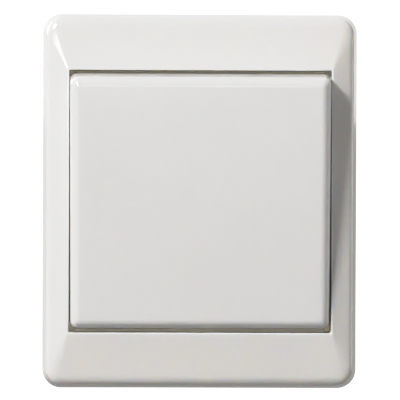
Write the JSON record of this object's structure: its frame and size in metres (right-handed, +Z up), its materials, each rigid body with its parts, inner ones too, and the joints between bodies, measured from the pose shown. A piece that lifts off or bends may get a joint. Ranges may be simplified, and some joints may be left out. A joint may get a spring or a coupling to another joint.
{
  "type": "rocker wall switch",
  "caption": "Flush-mounted rocker wall switch: a portrait cover frame around a large tilting key, with a steel strap and a two-way switching insert that sits in the wall box.",
  "frame": {"origin": "centre of the mounting strap's back face, in the wall plane, midway between the two box-screw slots", "axes": "+X to the right seen from the front, +Z up, -Y out of the wall towards the user"},
  "size_m": [0.084, 0.0418, 0.1],
  "materials": {
    "polar_white": "gloss",
    "ivory_moulding": "satin",
    "grey_moulding": "matte",
    "base_moulding": "matte",
    "zinc_steel": "zinc plated",
    "spring_steel": "bright",
    "brass": "stamped",
    "silver_contact": "polished",
    "rubber": "matte",
    "release_orange": "satin"
  },
  "bodies": {
    "insert": {"cover_frame": "polar_white", "mounting_strap": "zinc_steel", "frame_clips": "ivory_moulding", "housing_cover": "ivory_moulding", "stop_pads": "rubber", "housing_screws": "zinc_steel", "pivot_pin": "zinc_steel", "base_housing": "base_moulding", "common_terminal": "brass", "terminal_1": "brass", "terminal_2": "brass", "fixed_contacts": "silver_contact", "clamp_spring_common": "spring_steel", "clamp_spring_1": "spring_steel", "clamp_spring_2": "spring_steel"},
    "rocker": {"rocker_cap": "polar_white", "rocker_cradle": "grey_moulding", "plunger_spring": "spring_steel"},
    "plunger": {"plunger": "ivory_moulding"},
    "lever": {"contact_lever": "brass", "moving_contacts": "silver_contact"},
    "release_common": {"release_button_common": "release_orange"},
    "release_1": {"release_button_1": "release_orange"},
    "release_2": {"release_button_2": "release_orange"}
  },
  "joints": [
    {"name": "rocker_tilt", "type": "hinge", "parent": "insert", "child": "rocker", "pos_m": [0, -0.007, 0], "axis": [-1, 0, 0], "range_deg": [0, 10]},
    {"name": "lever_tilt", "type": "hinge", "parent": "insert", "child": "lever", "pos_m": [0, 0.00948, 0], "axis": [1, 0, 0], "range_deg": [0, 12]},
    {"name": "plunger_slide", "type": "slide", "parent": "rocker", "child": "plunger", "axis": [0, -0.9962, -0.0872], "range_m": [0, 0.0004]},
    {"name": "release_common_slide", "type": "slide", "parent": "insert", "child": "release_common", "axis": [0, -1, 0], "range_m": [0, 0.0012]},
    {"name": "release_1_slide", "type": "slide", "parent": "insert", "child": "release_1", "axis": [0, -1, 0], "range_m": [0, 0.0012]},
    {"name": "release_2_slide", "type": "slide", "parent": "insert", "child": "release_2", "axis": [0, -1, 0], "range_m": [0, 0.0012]}
  ],
  "couplings": [
    {"joint": "lever_tilt", "follows": "rocker_tilt", "ratio": 1.2}
  ]
}
